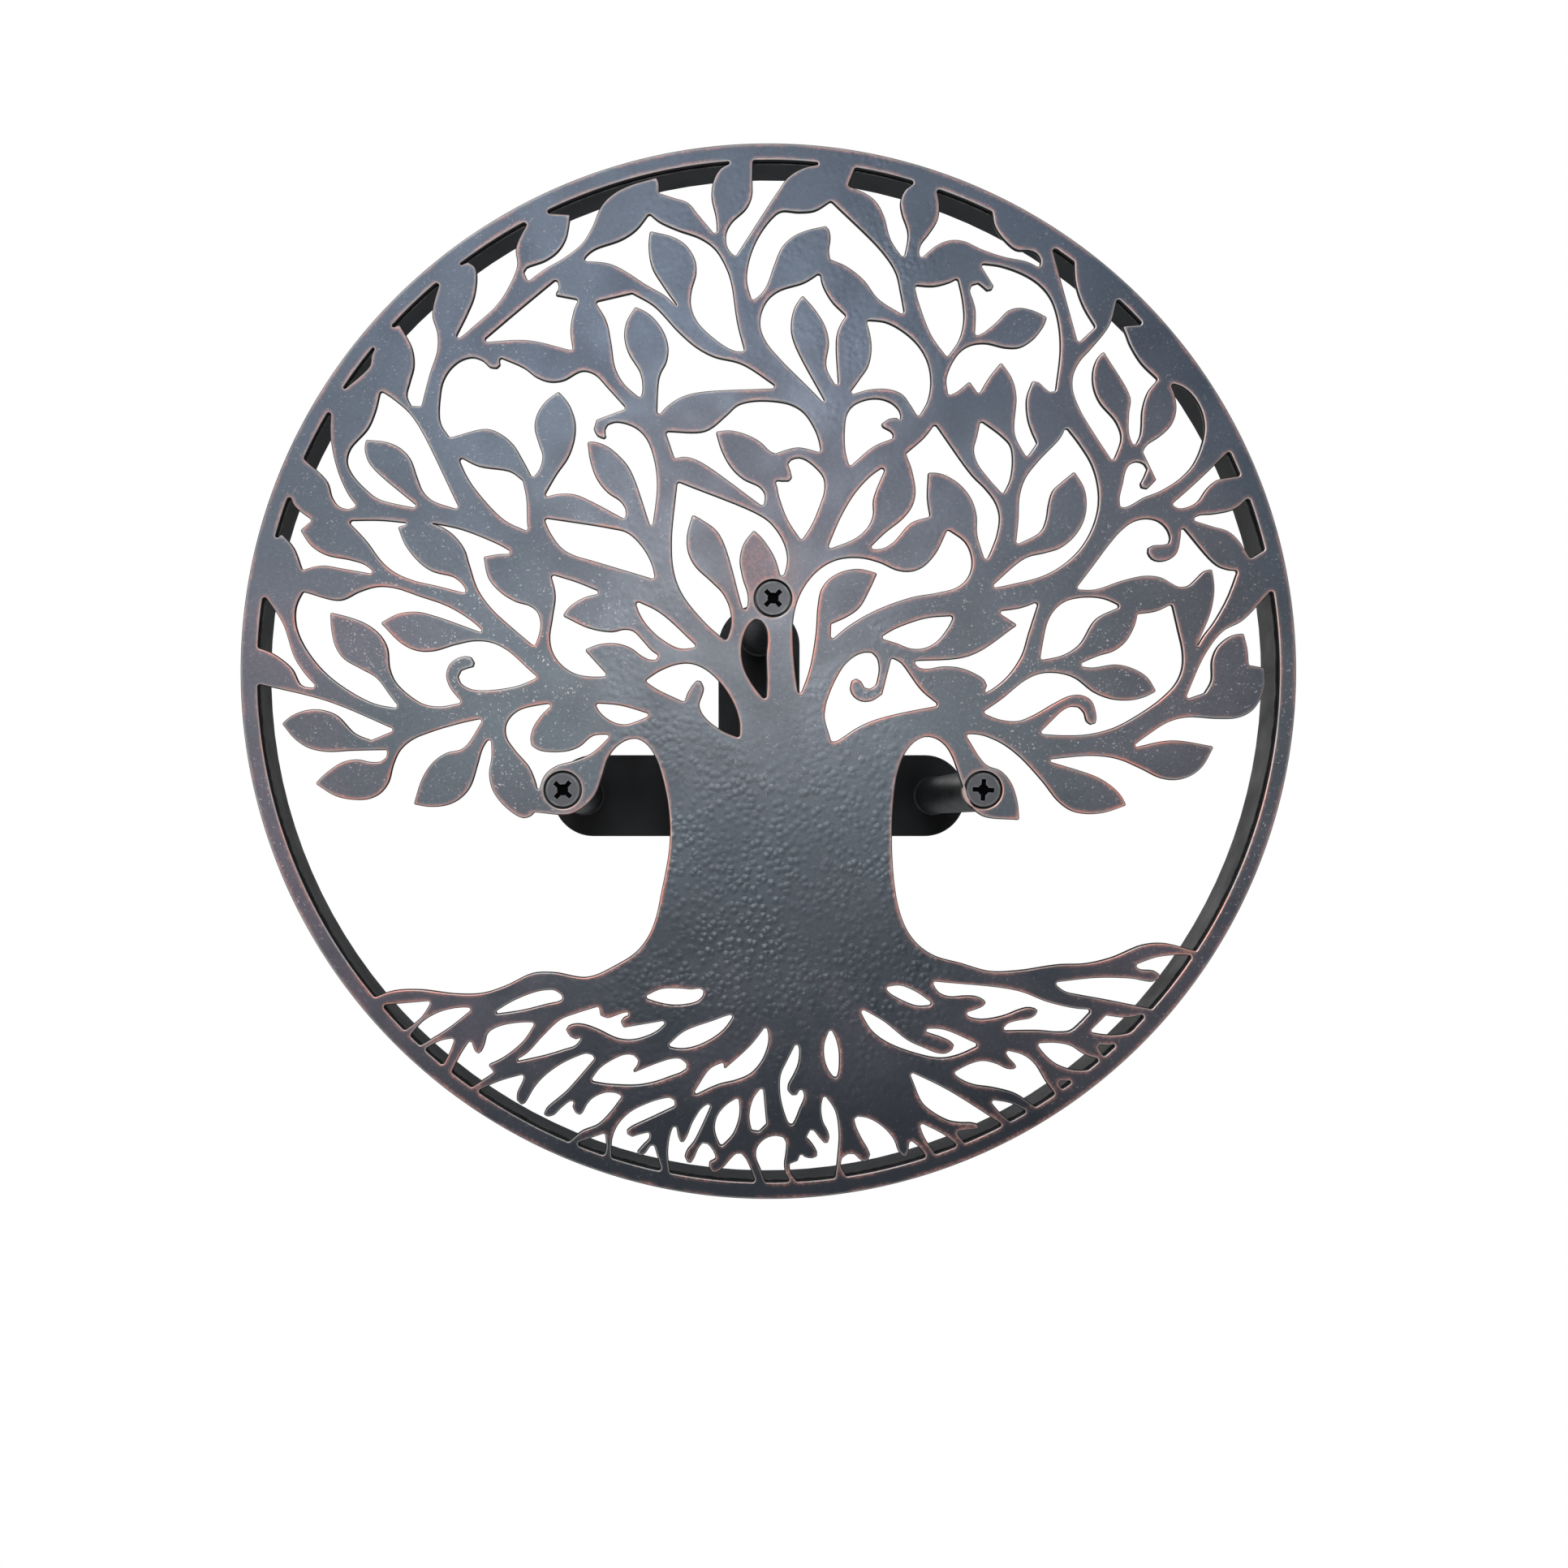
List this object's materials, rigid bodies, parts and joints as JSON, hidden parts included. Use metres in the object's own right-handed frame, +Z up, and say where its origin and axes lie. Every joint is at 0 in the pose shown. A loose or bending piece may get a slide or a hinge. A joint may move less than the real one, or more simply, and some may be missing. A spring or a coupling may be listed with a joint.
{
  "type": "hose hanger",
  "caption": "Wall-mounted garden hose hanger: a round cut-out tree panel in a steel hoop, held off a wall plate by standoffs that carry the hose coils",
  "frame": {"origin": "middle of the two wall-screw holes, on the wall face of the back plate", "axes": "+Z up the wall, the front faces -Y, +X to the right seen from the front"},
  "size_m": [0.34, 0.105, 0.34],
  "materials": {
    "tree_panel": "blue-grey charcoal powder coat with a fine orange-peel and thin worn copper edges",
    "rim_hoop": "satin black powder coat",
    "back_plate": "satin black powder coat",
    "standoff_top": "satin black powder coat",
    "standoff_left": "satin black powder coat",
    "standoff_right": "satin black powder coat",
    "panel_screw_top": "dark grey satin screw head",
    "panel_screw_left": "dark grey satin screw head",
    "panel_screw_right": "dark grey satin screw head"
  },
  "bodies": {
    "root": {"tree_panel": "tree_panel", "rim_hoop": "rim_hoop", "back_plate": "back_plate", "standoff_top": "standoff_top", "standoff_left": "standoff_left", "standoff_right": "standoff_right", "panel_screw_top": "panel_screw_top", "panel_screw_left": "panel_screw_left", "panel_screw_right": "panel_screw_right"}
  },
  "joints": []
}
